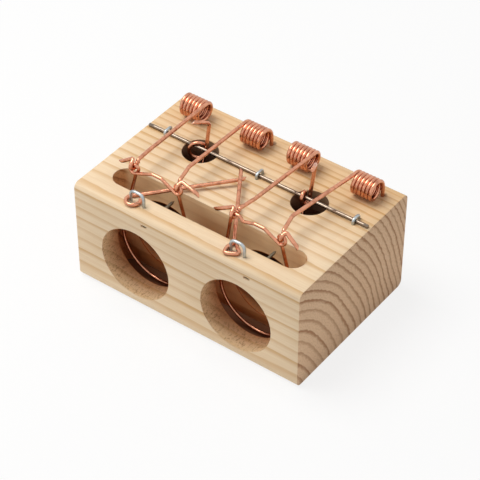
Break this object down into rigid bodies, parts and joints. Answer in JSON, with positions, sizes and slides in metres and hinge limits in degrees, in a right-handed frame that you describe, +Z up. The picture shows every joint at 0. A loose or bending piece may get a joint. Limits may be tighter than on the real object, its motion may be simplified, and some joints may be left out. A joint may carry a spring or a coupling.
{
  "type": "snap mouse trap",
  "caption": "Pine block mouse trap: round entry holes, sliding wire nooses in a cross slot, torsion spring arms, swivelling lock bars and bait triggers on an axle rod",
  "frame": {"origin": "middle of the underside of the block, on the surface it stands on", "axes": "+X along the block to the right, +Y from the entry holes to the back, +Z up"},
  "size_m": [0.1, 0.0676, 0.0623],
  "materials": {
    "timber": "planed pine, unvarnished",
    "copper_wire": "copper-plated spring wire",
    "bright_rod": "drawn bright",
    "zinc_wire": "galvanised"
  },
  "bodies": {
    "block_body": {"block": "timber", "axle_rod": "bright_rod", "rod_staple_left": "zinc_wire", "rod_staple_middle": "zinc_wire", "rod_staple_right": "zinc_wire", "bar_staple_left": "zinc_wire", "bar_staple_right": "zinc_wire", "stop_pin_left": "zinc_wire", "stop_pin_right": "zinc_wire", "spring_coil_1": "copper_wire", "spring_coil_2": "copper_wire", "spring_coil_3": "copper_wire", "spring_coil_4": "copper_wire"},
    "arm_body_1": {"spring_arm_1": "copper_wire"},
    "arm_body_2": {"spring_arm_2": "copper_wire"},
    "arm_body_3": {"spring_arm_3": "copper_wire"},
    "arm_body_4": {"spring_arm_4": "copper_wire"},
    "noose_body_left": {"noose_left": "copper_wire"},
    "bar_body_left": {"lock_bar_left": "copper_wire"},
    "trigger_body_left": {"trigger_left": "copper_wire"},
    "noose_body_right": {"noose_right": "copper_wire"},
    "bar_body_right": {"lock_bar_right": "copper_wire"},
    "trigger_body_right": {"trigger_right": "copper_wire"}
  },
  "joints": [
    {"name": "arm_1_lift", "type": "hinge", "parent": "block_body", "child": "arm_body_1", "pos_m": [-0.0334, 0.0234, 0.0491], "axis": [-1, 0, 0], "range_deg": [0, 50], "stiffness_Nm_per_rad": 0.4},
    {"name": "arm_2_lift", "type": "hinge", "parent": "block_body", "child": "arm_body_2", "pos_m": [-0.0152, 0.0234, 0.0491], "axis": [-1, 0, 0], "range_deg": [0, 50], "stiffness_Nm_per_rad": 0.4},
    {"name": "arm_3_lift", "type": "hinge", "parent": "block_body", "child": "arm_body_3", "pos_m": [0.0158, 0.0234, 0.0491], "axis": [-1, 0, 0], "range_deg": [0, 50], "stiffness_Nm_per_rad": 0.4},
    {"name": "arm_4_lift", "type": "hinge", "parent": "block_body", "child": "arm_body_4", "pos_m": [0.034, 0.0234, 0.0491], "axis": [-1, 0, 0], "range_deg": [0, 50], "stiffness_Nm_per_rad": 0.4},
    {"name": "noose_left_hang", "type": "hinge", "parent": "arm_body_1", "child": "noose_body_left", "pos_m": [-0.0227, -0.01955, 0.052], "axis": [-1, 0, 0], "range_deg": [-28, 0]},
    {"name": "noose_right_hang", "type": "hinge", "parent": "arm_body_3", "child": "noose_body_right", "pos_m": [0.0227, -0.01955, 0.052], "axis": [-1, 0, 0], "range_deg": [-28, 0]},
    {"name": "bar_left_swivel", "type": "hinge", "parent": "block_body", "child": "bar_body_left", "pos_m": [-0.02725, -0.029, 0.04525], "axis": [0, 0, 1], "range_deg": [0, 32]},
    {"name": "bar_right_swivel", "type": "hinge", "parent": "block_body", "child": "bar_body_right", "pos_m": [0.01735, -0.029, 0.04525], "axis": [0, 0, 1], "range_deg": [-34, 0]},
    {"name": "trigger_left_tilt", "type": "hinge", "parent": "block_body", "child": "trigger_body_left", "pos_m": [-0.0246, 0.0092, 0.0451], "axis": [1, 0, 0], "range_deg": [-15, 12]},
    {"name": "trigger_right_tilt", "type": "hinge", "parent": "block_body", "child": "trigger_body_right", "pos_m": [0.0246, 0.0092, 0.0451], "axis": [1, 0, 0], "range_deg": [-15, 12]}
  ],
  "couplings": [
    {"joint": "arm_2_lift", "follows": "arm_1_lift", "ratio": 1},
    {"joint": "noose_left_hang", "follows": "arm_1_lift", "ratio": -0.56},
    {"joint": "arm_4_lift", "follows": "arm_3_lift", "ratio": 1},
    {"joint": "noose_right_hang", "follows": "arm_3_lift", "ratio": -0.56}
  ]
}
